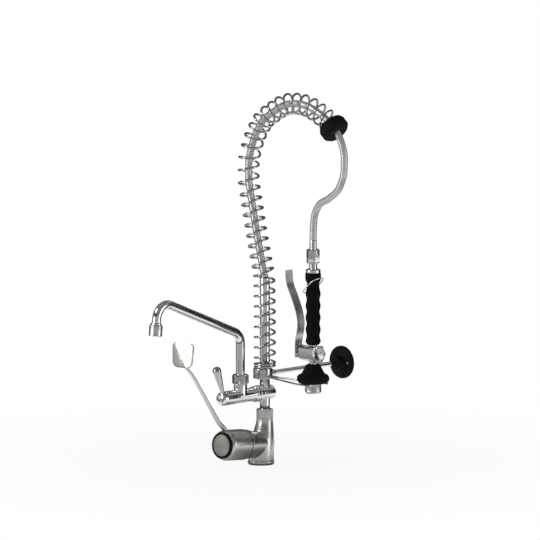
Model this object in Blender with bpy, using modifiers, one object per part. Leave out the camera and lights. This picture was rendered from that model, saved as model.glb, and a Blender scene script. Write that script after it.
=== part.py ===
"""Pre rinse faucet: deck mixer, riser, cross tap with swivel spout, wall bracket and spray gun.

Metres, +Z up. The origin is the centre of the deck hole, on the deck. -Y is the user's side,
+Y the wall, and the spray gun hangs on the +X side. Sizes below are in millimetres.
"""

import bmesh
import bpy
from math import acos, ceil, cos, degrees, pi, radians, sin, tan
from mathutils import Matrix, Vector

# ---- driving dimensions, millimetres and degrees ----
GAP = 0.3                      # between pieces that touch
COLUMN_Y = 11.5                # the riser stands this far behind the deck hole's centre
BODY_BASE_R = 27.0
BODY_FOOT_Z = 8.0
BODY_TOP_Z = 97.0
NECK_R = 17.5
BRANCH_Z = 42.3                # height of the mixer's branch axis at the column
BRANCH_TILT = 4.2              # the branch rises towards the user by this
BRANCH_SEAM = 68.0             # along the branch axis, from the column
HANDLE_FACE = 126.6
HANDLE_R = 32.5
HANDLE_FACE_R = 28.8
CARTRIDGE_R = 17.5
SHANK_R = 16.5
PADDLE_Y = COLUMN_Y - 250.0
PADDLE_Z = (229.0, 282.5)
PADDLE_HALF = 27.0
LEVER_FOOT_R = 5.0
LEVER_ROUTE = [                # Y and Z, from inside the handle's shell
    (-106.2, 80.4), (-115.2, 90), (-124, 97), (-162, 147.5), (-206, 208), (-221, 223), (-233, 234), (PADDLE_Y, 250),
]
PIPE_R = 10.5                  # riser
TAP_Z = 150.3                  # cross tap axis
TAP_R = 14.8
SPOUT_Y = COLUMN_Y - 73.7
SPOUT_R = 9.5
SPOUT_NUT_Z = 176.9
CLAMP_Z = 181.0
CLAMP_H = 22.0
CLAMP_R = 20.0
CLAMP_SHIFT = 6.0
ROD_Z = 190.0
ROD_R = 5.2
ROSETTE_Y = 246.5              # wall plane
ROSETTE_R = 34.5
ROSETTE_SCREW_X = 20.0
FORK_WIRE_R = 2.0
FORK_HALF = 24.5
SPRING_R = 21.0                # to the middle of the wire
SPRING_WIRE_R = 2.4
SPRING_PITCH = 21.85           # below the arch
OPEN_PITCH = 25.5              # where the arch begins, between these lengths along the route
OPEN_FROM, OPEN_TO = 375.0, 477.0
ARCH_PITCH = 22.6
SPRING_PHASE = 0.653           # where the wire starts, in turns from the +X side
RISER_TOP_Z = 394.0
HOSE_R = 7.5
GUN_X = 141.0
NOZZLE_Z = 164.0
BUMPER_Z = 185.0
VALVE_Z = 247.0                # axis of the valve, along X
VALVE_X = (107.5, 153.5)
VALVE_HALF_Y = 10.5
VALVE_HALF_FLAT = 11.0         # the upright flat's half height, and the ridge's
VALVE_HALF_RIDGE = 17.0
STEM_Z = 252.0
GRIP_Z = (267.0, 418.7)
PIVOT = (103.2, 241.0)         # X and Z of the trigger's pin
TRIGGER_WIDTH = 20.8
TRIGGER_T = 2.6
RING_HINGE = (159.6, 409.0)    # X and Z of the locking ring's upper end

# The spring's and the hose's middle lines in the XZ plane through the column.
SPRING_ROUTE = [
    (0, 205.8), (0, 260), (0, 330), (-1.8, 396), (-6.4, 416.5), (-16.9, 459), (-26.9, 501),
    (-36.5, 545), (-46.2, 592), (-46.9, 617), (-45.6, 642), (-36.5, 673), (-26.3, 696),
    (-16.9, 711), (-4.4, 728.5), (12.9, 741), (29.8, 751.5), (51.7, 764), (72.4, 771),
    (95.5, 773), (118.6, 772), (139.3, 767), (158.9, 759), (179.5, 749), (198.0, 736.0),
]
HOSE_ROUTE = SPRING_ROUTE[3:] + [
    (211, 724), (221, 709), (228, 693), (232, 676), (232, 669), (230.6, 639), (224, 619.5),
    (211, 599), (185, 580), (161.5, 567.5), (146.6, 545), (142, 517), (141, 489.4),
]
CAP_AT = (191.8, 740.4)        # where the cap's open end begins on the route
CAP_DIR = (0.77, -0.638)
CAP_R = 30.5
CAP_LENGTH = 27.0


def v3(x, y, z):
    """A place given in millimetres, as a vector in metres."""
    return Vector((x, y, z)) * 0.001


# ---- scene ----
for old in list(bpy.data.objects):
    bpy.data.objects.remove(old, do_unlink=True)
PART = bpy.data.collections.new("pre_rinse_faucet")
CUTTERS = bpy.data.collections.new("cutters")
for group in (PART, CUTTERS):
    bpy.context.scene.collection.children.link(group)

FINISHES = {  # colour, metallic, roughness
    "chrome": ((0.80, 0.81, 0.82), 1.0, 0.10),
    "satin": ((0.56, 0.58, 0.54), 1.0, 0.34),
    "brushed": ((0.62, 0.62, 0.62), 1.0, 0.30),
    "steel": ((0.66, 0.67, 0.68), 1.0, 0.25),
    "brass": ((0.72, 0.56, 0.28), 1.0, 0.30),
    "black_rubber": ((0.012, 0.012, 0.013), 0.0, 0.75),
    "black_plastic": ((0.015, 0.015, 0.016), 0.0, 0.45),
    "grey_plastic": ((0.42, 0.44, 0.40), 0.0, 0.50),
    "white_plastic": ((0.75, 0.75, 0.72), 0.0, 0.50),
    "hose_grey": ((0.60, 0.61, 0.61), 0.3, 0.40),
}
MATERIALS = {}


def material(finish):
    if finish not in MATERIALS:
        colour, metallic, roughness = FINISHES[finish]
        made = bpy.data.materials.new(finish)
        made.use_nodes = True
        shader = made.node_tree.nodes["Principled BSDF"]
        shader.inputs["Base Color"].default_value = (*colour, 1.0)
        shader.inputs["Metallic"].default_value = metallic
        shader.inputs["Roughness"].default_value = roughness
        MATERIALS[finish] = made
    return MATERIALS[finish]


def place(obj, finish):
    """Adds an object to the part, or to the cutters when it has no finish."""
    if finish:
        PART.objects.link(obj)
        obj.data.materials.append(material(finish))
    else:
        CUTTERS.objects.link(obj)
        obj.hide_render = True
        obj.display_type = "WIRE"
    return obj


def aim(direction):
    """A rotation that turns +Z to this direction."""
    return Vector((0, 0, 1)).rotation_difference(Vector(direction).normalized()).to_euler()


def smooth(mesh, angle=35):
    mesh.shade_smooth()
    mesh.set_sharp_from_angle(angle=radians(angle))


def mesh_object(name, finish, work):
    mesh = bpy.data.meshes.new(name)
    work.to_mesh(mesh)
    work.free()
    smooth(mesh)
    return place(bpy.data.objects.new(name, mesh), finish)


def box(name, finish, low, high):
    work = bmesh.new()
    bmesh.ops.create_cube(work, size=1.0)
    low, high = v3(*low), v3(*high)
    size, middle = high - low, (high + low) / 2
    bmesh.ops.transform(work, matrix=Matrix.Diagonal((*size, 1)), verts=work.verts)
    bmesh.ops.translate(work, vec=middle, verts=work.verts)
    return mesh_object(name, finish, work)


def turned(name, finish, profile, at=(0, 0, 0), direction=(0, 0, 1), steps=20):
    """A turned solid from (radius, height) points, from its top down the outside and back up any bore."""
    mesh = bpy.data.meshes.new(name)
    points = [(r * 0.001, 0.0, h * 0.001) for r, h in profile]
    closed = profile[0][0] > 0 and profile[-1][0] > 0
    edges = [(i, i + 1) for i in range(len(points) - 1)]
    if closed:
        edges.append((len(points) - 1, 0))
    mesh.from_pydata(points, edges, [])
    obj = place(bpy.data.objects.new(name, mesh), finish)
    screw = obj.modifiers.new("turn", "SCREW")
    screw.steps = screw.render_steps = steps
    screw.use_merge_vertices = True
    screw.merge_threshold = 0.00001
    screw.use_smooth_shade = True
    obj.location = v3(*at)
    obj.rotation_euler = aim(direction)
    return obj


def rod(name, finish, radius, start, length, direction=(0, 0, 1), steps=14):
    """A plain round bar from its start, along the direction."""
    profile = [(0, length), (radius, length), (radius, 0), (0, 0)]
    return turned(name, finish, profile, start, direction, steps)


def sleeve(name, finish, outer, bore, start, length, direction=(0, 0, 1), chamfer=0.0, steps=20):
    """A round bar with a bore, and with both outer edges chamfered."""
    c = chamfer
    profile = [
        (outer - c, length), (outer, length - c), (outer, c), (outer - c, 0), (bore, 0), (bore, length),
    ]
    if not c:
        profile = [(outer, length), (outer, 0), (bore, 0), (bore, length)]
    return turned(name, finish, profile, start, direction, steps)


def nut(name, finish, across_corners, bore, start, length, direction=(0, 0, 1)):
    """A hexagonal nut with a round bore."""
    work = bmesh.new()
    r = across_corners / 2 * 0.001
    bmesh.ops.create_cone(work, cap_ends=True, segments=6, radius1=r, radius2=r, depth=length * 0.001)
    bmesh.ops.translate(work, vec=(0, 0, length * 0.0005), verts=work.verts)
    obj = mesh_object(name, finish, work)
    obj.location = v3(*start)
    obj.rotation_euler = aim(direction)
    if bore:
        behind = Vector(start) - Vector(direction).normalized()
        cut(obj, rod(name + "_bore", None, bore, behind, length + 2, direction, 24))
    return obj


def prism(name, finish, outline, thickness, matrix):
    """A flat outline in millimetres, extruded to this thickness about its own plane."""
    curve = bpy.data.curves.new(name, "CURVE")
    curve.dimensions = "2D"
    curve.fill_mode = "BOTH"
    curve.extrude = thickness / 2 * 0.001
    line = curve.splines.new("POLY")
    line.points.add(len(outline) - 1)
    for point, (x, y) in zip(line.points, outline):
        point.co = (x * 0.001, y * 0.001, 0, 1)
    line.use_cyclic_u = True
    obj = place(bpy.data.objects.new(name, curve), finish)
    obj.matrix_world = matrix
    return as_mesh(obj, finish)


def wire(name, finish, points, radius, taper=None, resolution=2):
    """A round wire or tube along points in millimetres, with closed ends."""
    curve = bpy.data.curves.new(name, "CURVE")
    curve.dimensions = "3D"
    curve.bevel_depth = radius * 0.001
    curve.bevel_resolution = resolution
    curve.use_fill_caps = True
    line = curve.splines.new("POLY")
    line.points.add(len(points) - 1)
    for i, (point, place_mm) in enumerate(zip(line.points, points)):
        point.co = (*v3(*place_mm), 1)
        point.radius = taper[i] if taper else 1.0
    return place(bpy.data.objects.new(name, curve), finish)


def as_mesh(obj, finish):
    """Turns a curve object into a mesh object with its caps welded."""
    bpy.context.view_layer.update()
    graph = bpy.context.evaluated_depsgraph_get()
    mesh = bpy.data.meshes.new_from_object(obj.evaluated_get(graph))
    work = bmesh.new()
    work.from_mesh(mesh)
    bmesh.ops.remove_doubles(work, verts=work.verts, dist=1e-6)
    work.to_mesh(mesh)
    work.free()
    smooth(mesh)
    name, matrix = obj.name, obj.matrix_world.copy()
    bpy.data.objects.remove(obj, do_unlink=True)
    mesh.materials.clear()
    made = place(bpy.data.objects.new(name, mesh), finish)
    made.matrix_world = matrix
    return made


def cut(obj, *cutters):
    for cutter in cutters:
        boolean = obj.modifiers.new("cut_" + cutter.name, "BOOLEAN")
        boolean.operation = "DIFFERENCE"
        boolean.object = cutter


def join(obj, *others):
    for other in others:
        boolean = obj.modifiers.new("join_" + other.name, "BOOLEAN")
        boolean.operation = "UNION"
        boolean.object = other


def rounded(corners, radii, step=15):
    """A line through corners in a plane, with an arc of each radius at the inner corners."""
    points = [Vector(corners[0])]
    for before, corner, after, radius in zip(corners, corners[1:], corners[2:], radii):
        corner = Vector(corner)
        into, out = (Vector(before) - corner).normalized(), (Vector(after) - corner).normalized()
        half = acos(max(-1.0, min(1.0, into.dot(out)))) / 2
        reach = radius / tan(half)
        centre = corner + (into + out).normalized() * (radius / sin(half))
        start, end = corner + into * reach - centre, corner + out * reach - centre
        turn = pi - 2 * half
        count = max(2, ceil(degrees(turn) / step))
        for i in range(count + 1):
            a = turn * i / count
            points.append(centre + (start * sin(turn - a) + end * sin(a)) / sin(turn))
    points.append(Vector(corners[-1]))
    return points


def through(route, spacing):
    """Evenly spaced points on a smooth curve (Catmull-Rom) through a route in the XZ plane."""
    ends = [2 * Vector(route[0]) - Vector(route[1]), 2 * Vector(route[-1]) - Vector(route[-2])]
    knots = [ends[0], *(Vector(p) for p in route), ends[1]]
    dense = [knots[1]]
    for a, b, c, d in zip(knots, knots[1:], knots[2:], knots[3:]):
        for i in range(1, 13):
            t = i / 12
            dense.append(0.5 * (2 * b + (c - a) * t + (2 * a - 5 * b + 4 * c - d) * t**2
                                + (3 * b - a - 3 * c + d) * t**3))
    length = sum((q - p).length for p, q in zip(dense, dense[1:]))
    count = ceil(length / spacing)
    points, walked, target = [dense[0]], 0.0, length / count
    for p, q in zip(dense, dense[1:]):
        piece = (q - p).length
        while walked + piece >= target * len(points) and len(points) < count:
            points.append(p.lerp(q, (target * len(points) - walked) / piece))
        walked += piece
    return points + [dense[-1]]


def facing(direction, at):
    """The frame of an outline drawn across this horizontal direction, with its Y up."""
    out, up = Vector(direction), Vector((0, 0, 1))
    frame = Matrix((up.cross(out), up, out)).transposed().to_4x4()
    frame.translation = v3(*at)
    return frame


def branch(t):
    """A place on the mixer's branch axis, this far from the column."""
    a = radians(BRANCH_TILT)
    return (0, COLUMN_Y - t * cos(a), BRANCH_Z + t * sin(a))


BRANCH = (0, -cos(radians(BRANCH_TILT)), sin(radians(BRANCH_TILT)))
TOWARDS_USER = (0, -1, 0)
TOWARDS_WALL = (0, 1, 0)
TOWARDS_GUN = (1, 0, 0)


# ---- mixer and deck fixing ----
def mixer_casting():
    """The upright is a stack of circles that lean back to the riser; the branch is turned."""
    stack = [  # height, radius, Y of the centre
        (BODY_FOOT_Z, BODY_BASE_R, 0), (32, 26.6, 1.5), (56, 24.0, 5.0), (70, 21.0, 8.2),
        (84, 18.4, 10.6), (BODY_TOP_Z - GAP, NECK_R, COLUMN_Y),
    ]
    work = bmesh.new()
    sides, rings = 26, []
    for height, radius, y in stack:
        angles = [2 * pi * i / sides for i in range(sides)]
        rings.append([work.verts.new(v3(radius * cos(a), y + radius * sin(a), height)) for a in angles])
    for lower, upper in zip(rings, rings[1:]):
        for i in range(sides):
            j = (i + 1) % sides
            work.faces.new((lower[i], lower[j], upper[j], upper[i]))
    work.faces.new(rings[0][::-1])
    work.faces.new(rings[-1])
    body = mesh_object("mixer_body", "satin", work)
    outline = [(0, 67.6), (31, 67.6), (31, 58), (28, 45), (25.5, 25), (23, 0), (0, -8)]
    join(body, turned("branch_outer", None, outline, branch(0), BRANCH, 32))
    cut(
        body,
        rod("shank_room", None, SHANK_R + GAP, (0, 0, 0), 22, steps=24),
        rod("cartridge_room", None, CARTRIDGE_R + GAP, branch(40), 40, BRANCH, 24),
        rod("riser_room", None, PIPE_R + GAP, (0, COLUMN_Y, 81), 30),
    )


def deck_parts():
    sleeve("deck_gasket", "black_rubber", 26.8, 17.2, (0, 0, 0), 1.7)
    sleeve("base_ring", "chrome", 28.0, 17.2, (0, 0, 2.0), 5.7, chamfer=1.0)
    sleeve("mounting_shank", "brass", SHANK_R, 14.2, (0, 0, -62), 83.7)
    sleeve("clamp_washer", "steel", 26.0, SHANK_R + GAP, (0, 0, -43), 3)
    nut("clamp_nut", "brass", 46, SHANK_R + GAP, (0, 0, -54), 10.7)
    for name, x in (("hot_inlet_tail", -7.2), ("cold_inlet_tail", 7.2)):
        sleeve(name, "brass", 6.0, 4.0, (x, 0, -80), 101.7, steps=16)


def cartridge():
    rod("mixer_cartridge", "white_plastic", CARTRIDGE_R, branch(40.3), 38, BRANCH, 24)
    sleeve("cartridge_nut", "brass", 24, CARTRIDGE_R + GAP, branch(67.9), 9, BRANCH, steps=24)
    rod("cartridge_stem", "steel", 5, branch(78.6), 36, BRANCH, 12)


def mixer_handle():
    """The shell turns with the lever on the branch axis."""
    long = HANDLE_FACE - BRANCH_SEAM
    outline = [
        (HANDLE_FACE_R, long), (HANDLE_R - 1.4, long - 3), (HANDLE_R, long - 7), (HANDLE_R, 1),
        (HANDLE_R - 1, 0.3), (26, 0.3), (26, long - 10), (4, long - 10), (4, long),
    ]
    shell = turned("mixer_handle", "satin", outline, branch(BRANCH_SEAM), BRANCH, 26)
    foot, knee = Vector((0, *LEVER_ROUTE[0])), Vector((0, *LEVER_ROUTE[1]))
    along = (knee - foot).normalized()
    cut(shell, rod("lever_room", None, LEVER_FOOT_R + GAP, foot - along * GAP, 24, along))
    rod("handle_screw", "steel", 3.7, branch(HANDLE_FACE - 9.6), 8, BRANCH, 12)
    sleeve("handle_ring", "black_plastic", 28.2, 23.3, branch(HANDLE_FACE + GAP), 5.0, BRANCH, steps=22)
    outline = [(0, 5.6), (21.7, 5.6), (22.9, 4.6), (22.9, 0), (0, 0)]
    turned("handle_button", "grey_plastic", outline, branch(HANDLE_FACE + GAP), BRANCH, 26)


def elbow_lever():
    """A tapered rod that leans forward, with an upright paddle on its end."""
    taper = [1.0, 1.0, 1.0, 0.9, 0.67, 0.65, 0.62, 0.58]
    lever = wire("elbow_lever", "satin", [(0, y, z) for y, z in LEVER_ROUTE], LEVER_FOOT_R, taper)
    lever = as_mesh(lever, "satin")
    low, high = PADDLE_Z
    corners = ((PADDLE_HALF, high, 10, 0), (-PADDLE_HALF, high, 10, 90), (-PADDLE_HALF, low, 14, 180),
               (PADDLE_HALF, low, 14, 270))
    outline = []
    for x, z, radius, first in corners:
        middle = (x - radius if x > 0 else x + radius, z - radius if z == high else z + radius)
        for step in range(4):
            a = radians(first + 30 * step)
            outline.append((middle[0] + radius * cos(a), middle[1] + radius * sin(a)))
    frame = facing(TOWARDS_USER, (0, PADDLE_Y, 0))
    join(lever, prism("lever_paddle", None, outline, 3.6, frame))


# ---- riser and cross tap ----
def riser():
    nut("riser_nut", "satin", 36.5, PIPE_R + GAP, (0, COLUMN_Y, BODY_TOP_Z), 19)
    sleeve("lower_riser", "chrome", PIPE_R, 8.3, (0, COLUMN_Y, 82), 60, steps=24)
    sleeve("upper_riser", "chrome", PIPE_R, 8.3, (0, COLUMN_Y, 158), RISER_TOP_Z - 158, steps=24)
    outline = [(0, 36), (13.5, 36), (TAP_R, 34.7), (TAP_R, 0), (0, 0)]
    tee = turned("tap_tee", "chrome", outline, (0, 7.5 - 12, TAP_Z), TOWARDS_WALL)
    cut(
        tee,
        rod("tee_riser_room", None, PIPE_R + GAP, (0, COLUMN_Y, TAP_Z - 30), 60, steps=24),
        rod("tee_water_way", None, 6, (0, -20, TAP_Z), 30, TOWARDS_WALL, 16),
    )


def cross_tap():
    sleeve("union_nut", "chrome", 17.6, 8, (0, -4.8, TAP_Z), 10, TOWARDS_USER, 1.5)
    long, flange = 68.3, 9.0
    outline = [
        (0, long), (TAP_R - 0.4, long), (TAP_R - 0.4, flange), (16.9, flange - 1.8), (16.9, 1.8),
        (15.2, 0), (0, 0),
    ]
    body = turned("tap_body", "chrome", outline, (0, -15.1, TAP_Z), TOWARDS_USER, 26)
    join(body, rod("tap_boss", None, 14.2, (0, SPOUT_Y, TAP_Z), SPOUT_NUT_Z - TAP_Z - GAP, steps=22))
    cut(
        body,
        rod("headwork_room", None, 8, (0, -10, TAP_Z), 80, TOWARDS_USER, 20),
        rod("boss_water_way", None, 6, (0, SPOUT_Y, TAP_Z), 40, steps=16),
    )
    sleeve("headwork", "brass", 7.7, 3.3, (0, -68, TAP_Z), 15.2, TOWARDS_USER, steps=20)
    rod("tap_stem", "brass", 3, (0, -66, TAP_Z), 28.7, TOWARDS_USER, 12)
    outline = [
        (0, 41), (6.5, 41), (11.5, 39.4), (14, 36), (15, 31), (15, 0), (3.4, 0), (3.4, 11.5), (0, 11.5),
    ]
    hub = turned("tap_hub", "chrome", outline, (0, -83.7, TAP_Z), TOWARDS_USER, 26)
    turned("hub_screw", "chrome", [(0, 1.6), (4, 1.6), (5, 0.6), (5, 0), (0, 0)], (0, -125.0, TAP_Z),
           TOWARDS_USER, 16)
    foot, top = Vector((0, -117.2, 166.8)), Vector((0, -136.2, 219.5))
    long = (top - foot).length
    outline = [
        (0, long), (5.8, long - 1.2), (8.8, long - 5), (9.2, long - 9), (8.2, long - 16), (4.4, 0), (4.4, -4),
        (0, -4),
    ]
    turned("tap_lever", "chrome", outline, foot, top - foot, 20)
    cut(hub, rod("lever_seat", None, 4.4 + GAP, foot - (top - foot) * (4 + GAP) / long, 12, top - foot))


def spout():
    nut_h = 19.7
    outline = [(15, nut_h), (17.8, nut_h - 2.2), (17.8, 2.2), (15.5, 0), (9.8, 0), (9.8, nut_h)]
    turned("spout_nut", "chrome", outline, (0, SPOUT_Y, SPOUT_NUT_Z))
    sleeve("spout_seal", "black_rubber", 9.5, 6.2, (0, SPOUT_Y, SPOUT_NUT_Z), 1.8, steps=20)
    corners = [(SPOUT_Y, SPOUT_NUT_Z + 2.1), (SPOUT_Y, 281), (-311, 381), (-316.5, 333.5)]
    bend = rounded(corners, (26, 30))
    wire("spout_pipe", "chrome", [(0, y, z) for y, z in bend], SPOUT_R, resolution=3)
    end, before = Vector((0, *bend[-1])), Vector((0, *bend[-2]))
    down = (end - before).normalized()
    outline = [
        (13.2, 28), (14.2, 27), (14.2, 6), (13, 4.6), (11.6, 4), (11.6, 0.8), (10.6, 0), (7.5, 0), (7.5, 8),
        (11.2, 8), (11.2, 28),
    ]
    seat = end + down * GAP
    turned("aerator_housing", "chrome", outline, seat, down, 28)
    sleeve("aerator_insert", "white_plastic", 10.9, 2.0, seat + down * 18, 8, down, steps=20)


# ---- wall bracket and hook ----
def bracket():
    middle_y = COLUMN_Y - CLAMP_SHIFT
    outline = [(0, CLAMP_H), (CLAMP_R - 1.2, CLAMP_H), (CLAMP_R, CLAMP_H - 1.2), (CLAMP_R, 1.2),
               (CLAMP_R - 1.2, 0), (0, 0)]
    clamp = turned("bracket_clamp", "chrome", outline, (0, middle_y, CLAMP_Z))
    join(clamp, rod("rod_socket", None, 7.2, (0, middle_y + CLAMP_R - 3, ROD_Z), 16, TOWARDS_WALL))
    start = middle_y + CLAMP_R + GAP
    cut(
        clamp,
        rod("rod_room_clamp", None, ROD_R + GAP, (0, start, ROD_Z), 20, TOWARDS_WALL, 16),
        rod("clamp_bore", None, PIPE_R + GAP, (0, COLUMN_Y, CLAMP_Z - 5), 40, steps=24),
        rod("clamp_screw_room", None, 3.3, (0, COLUMN_Y, CLAMP_Z + 8), 50, TOWARDS_USER, 16),
    )
    rod("clamp_screw", "steel", 3, (0, COLUMN_Y - PIPE_R - GAP, CLAMP_Z + 8), 15.6, TOWARDS_USER, 12)
    rod("wall_rod", "chrome", ROD_R, (0, start + GAP, ROD_Z), 232 - start, TOWARDS_WALL, 16)


def rosette_parts():
    disc, boss = 10.0, 26.0
    outline = [
        (0, boss), (13.2, boss), (14.7, boss - 1.5), (15.2, disc + 1), (31, disc - 2.5),
        (ROSETTE_R, disc - 6), (ROSETTE_R, 0), (0, 0),
    ]
    rosette = turned("rosette", "black_plastic", outline, (0, ROSETTE_Y, ROD_Z), TOWARDS_USER)
    cut(rosette, rod("rod_room", None, ROD_R + GAP, (0, ROSETTE_Y - boss - 2, ROD_Z), 14, TOWARDS_WALL, 16))
    for side, x in (("left", -ROSETTE_SCREW_X), ("right", ROSETTE_SCREW_X)):
        cut(rosette, rod("screw_room_" + side, None, 4.3, (x, ROSETTE_Y + 2, ROD_Z), 30, TOWARDS_USER, 16))
        outline = [(0, 8.2), (2.4, 8.2), (4.0, 6.6), (4.0, 3), (2, 0), (2, -10), (0, -12)]
        turned("rosette_screw_" + side, "steel", outline, (x, ROSETTE_Y, ROD_Z), TOWARDS_USER, 12)


def hook_fork():
    under = BUMPER_Z - FORK_WIRE_R - GAP
    for name, side, start_x in (("hook_wire_front", -1, 20.6), ("hook_wire_rear", 1, 17.4)):
        points = [
            (start_x, COLUMN_Y + side * 6, under + 2.5), (60, COLUMN_Y + side * 13.5, under + 1.2),
            (108, COLUMN_Y + side * 22.6, under), (122, COLUMN_Y + side * FORK_HALF, under),
            (161, COLUMN_Y + side * FORK_HALF, under),
        ]
        wire(name, "chrome", points, FORK_WIRE_R)


# ---- spring and hose ----
def spring_pitch(walked, closed):
    if closed:
        return 2 * SPRING_WIRE_R + 0.4
    if walked < OPEN_FROM:
        return SPRING_PITCH
    return OPEN_PITCH if walked < OPEN_TO else ARCH_PITCH


def balance_spring():
    """A right-hand coil about the route, with its first turns closed on the clamp."""
    line = through(SPRING_ROUTE, 1.0)
    per_turn, closed_turns = 9, 1.5
    points, turn, walked = [], 0.0, 0.0
    while walked < len(line) - 2:
        i = int(walked)
        here = line[i].lerp(line[i + 1], walked - i)
        ahead = (line[min(i + 2, len(line) - 1)] - line[max(i - 1, 0)]).normalized()
        tangent, normal = Vector((ahead.x, 0, ahead.y)), Vector((ahead.y, 0, -ahead.x))
        side = tangent.cross(normal)
        angle = 2 * pi * (turn + SPRING_PHASE)
        offset = (normal * cos(angle) + side * sin(angle)) * SPRING_R
        points.append(Vector((here.x, COLUMN_Y, here.y)) + offset)
        turn += 1 / per_turn
        walked += spring_pitch(walked, turn < closed_turns) / per_turn
    wire("balance_spring", "chrome", points, SPRING_WIRE_R)


def spring_cap():
    outline = [
        (9.6, CAP_LENGTH), (25.5, CAP_LENGTH), (CAP_R, CAP_LENGTH - 6.5), (CAP_R, 6), (27, 0), (24.2, 0),
        (24.2, 15), (9.6, 15),
    ]
    direction = (CAP_DIR[0], 0, CAP_DIR[1])
    turned("spring_cap", "black_plastic", outline, (CAP_AT[0], COLUMN_Y, CAP_AT[1]), direction, 28)


def spray_hose():
    points = through([(0, RISER_TOP_Z + GAP), *HOSE_ROUTE[1:]], 19)
    wire("spray_hose", "hose_grey", [(p.x, COLUMN_Y, p.y) for p in points], HOSE_R)


# ---- spray gun ----
def gun(height):
    return (GUN_X, COLUMN_Y, height)


def hose_end():
    turned("hose_ferrule", "chrome", [(0, 20), (6.6, 20), (7.8, 18), (7.8, 0), (0, 0)], gun(469.1), steps=20)
    nut("hose_nut", "chrome", 29, 0, gun(440), 28.8)


def grip_radius(height):
    """The grip's outer radius: a flare at the top, then waves down to a round end."""
    low, high = GRIP_Z
    if height > high - 12:
        return 16.6
    if height > high - 24:
        return 12.4 + 4.2 * (height - high + 24) / 12
    if height < low + 5:
        return 12.3 + 2.6 * sin(pi / 2 * (height - low) / 5)
    wave = cos(2 * pi * (high - 44 - height) / 25.3)
    fade = min(1.0, (high - 24 - height) / 10)
    return 12.4 + (14.8 + 1.1 * wave - 12.4) * fade


def handgrip():
    foot = VALVE_Z + VALVE_HALF_RIDGE + GAP
    sleeve("gun_tube", "steel", 8.5, 5, gun(foot), 439.7 - foot, steps=20)
    outline = [(13.4, 8), (15.6, 6.6), (15.6, 1.2), (14.4, 0), (8.8, 0), (8.8, 8)]
    turned("grip_collar", "chrome", outline, gun(419), steps=22)
    low, high = GRIP_Z
    count = 22
    heights = [high - (high - low) * i / count for i in range(count + 1)]
    outline = [(grip_radius(h), h - low) for h in heights] + [(8.8, 0), (8.8, high - low)]
    turned("grip", "black_rubber", outline, gun(low), steps=18)


def valve():
    """The body is a bar with upright flanks and ridged top and bottom, and the trigger's lug."""
    w, flat, ridge = VALVE_HALF_Y, VALVE_HALF_FLAT, VALVE_HALF_RIDGE
    outline = [(w, -flat), (w, flat), (0, ridge), (-w, flat), (-w, -flat), (0, -ridge)]
    long, middle = VALVE_X[1] - VALVE_X[0], sum(VALVE_X) / 2
    body = prism("valve_body", "brushed", outline, long, facing(TOWARDS_GUN, (middle, COLUMN_Y, VALVE_Z)))
    lug_r, lug_half = 3.3, 7.5
    lug = (PIVOT[0], COLUMN_Y - lug_half, PIVOT[1])
    lug_low = (PIVOT[0], COLUMN_Y - lug_half, PIVOT[1] - lug_r)
    lug_high = (VALVE_X[0] + 2, COLUMN_Y + lug_half, PIVOT[1] + lug_r)
    join(
        body,
        rod("valve_outlet", None, 7.9, gun(BUMPER_Z + 1), 50, steps=20),
        rod("lug_round", None, lug_r, lug, 2 * lug_half, TOWARDS_WALL, 16),
        box("lug_web", None, lug_low, lug_high),
    )
    cut(
        body,
        rod("stem_room", None, 2.6, (90, COLUMN_Y, STEM_Z), 30, TOWARDS_GUN, 16),
        rod("spring_room", None, 6.8, (110, COLUMN_Y, STEM_Z - 4), 50, TOWARDS_GUN, 20),
        rod("water_way", None, 5, gun(BUMPER_Z - 4), 90, steps=16),
        rod("pin_room", None, 1.9, (PIVOT[0], COLUMN_Y - 20, PIVOT[1]), 40, TOWARDS_WALL, 12),
    )
    bonnet = nut("valve_bonnet", "chrome", 40.6, 0, (VALVE_X[1] + GAP, COLUMN_Y, VALVE_Z), 5, TOWARDS_GUN)
    join(bonnet, rod("bonnet_spigot", None, 6.4, (VALVE_X[1] - 8, COLUMN_Y, STEM_Z - 4), 9, TOWARDS_GUN))
    recess = [(0, 8), (14.5, 8), (14.5, 4), (3, 0), (0, 0)]
    cut(bonnet, turned("bonnet_recess", None, recess, (VALVE_X[1] + 1.6, COLUMN_Y, VALVE_Z), TOWARDS_GUN, 24))
    low = STEM_Z - 4
    outline = [(0, 12.2), (6.4, 12.2), (6.4, 10.2), (0, 10.2)]
    stem = turned("valve_stem", "steel", [(0, 12), (2.2, 12), (2.2, 1.6), (1, 0), (0, 0)],
                  (99.9, COLUMN_Y, STEM_Z), TOWARDS_GUN, 16)
    join(stem, rod("stem_flange", None, 6.2, (111.4, COLUMN_Y, low), 2, TOWARDS_GUN, 16))
    points = [(116.4 + 11 * i / 35, COLUMN_Y + 4.2 * cos(2 * pi * i / 7), low + 4.2 * sin(2 * pi * i / 8))
              for i in range(36)]
    wire("valve_spring", "steel", points, 0.6)
    sleeve("valve_seat", "black_rubber", 6.2, 3, (129.4, COLUMN_Y, low), 3, TOWARDS_GUN, steps=16)


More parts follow.
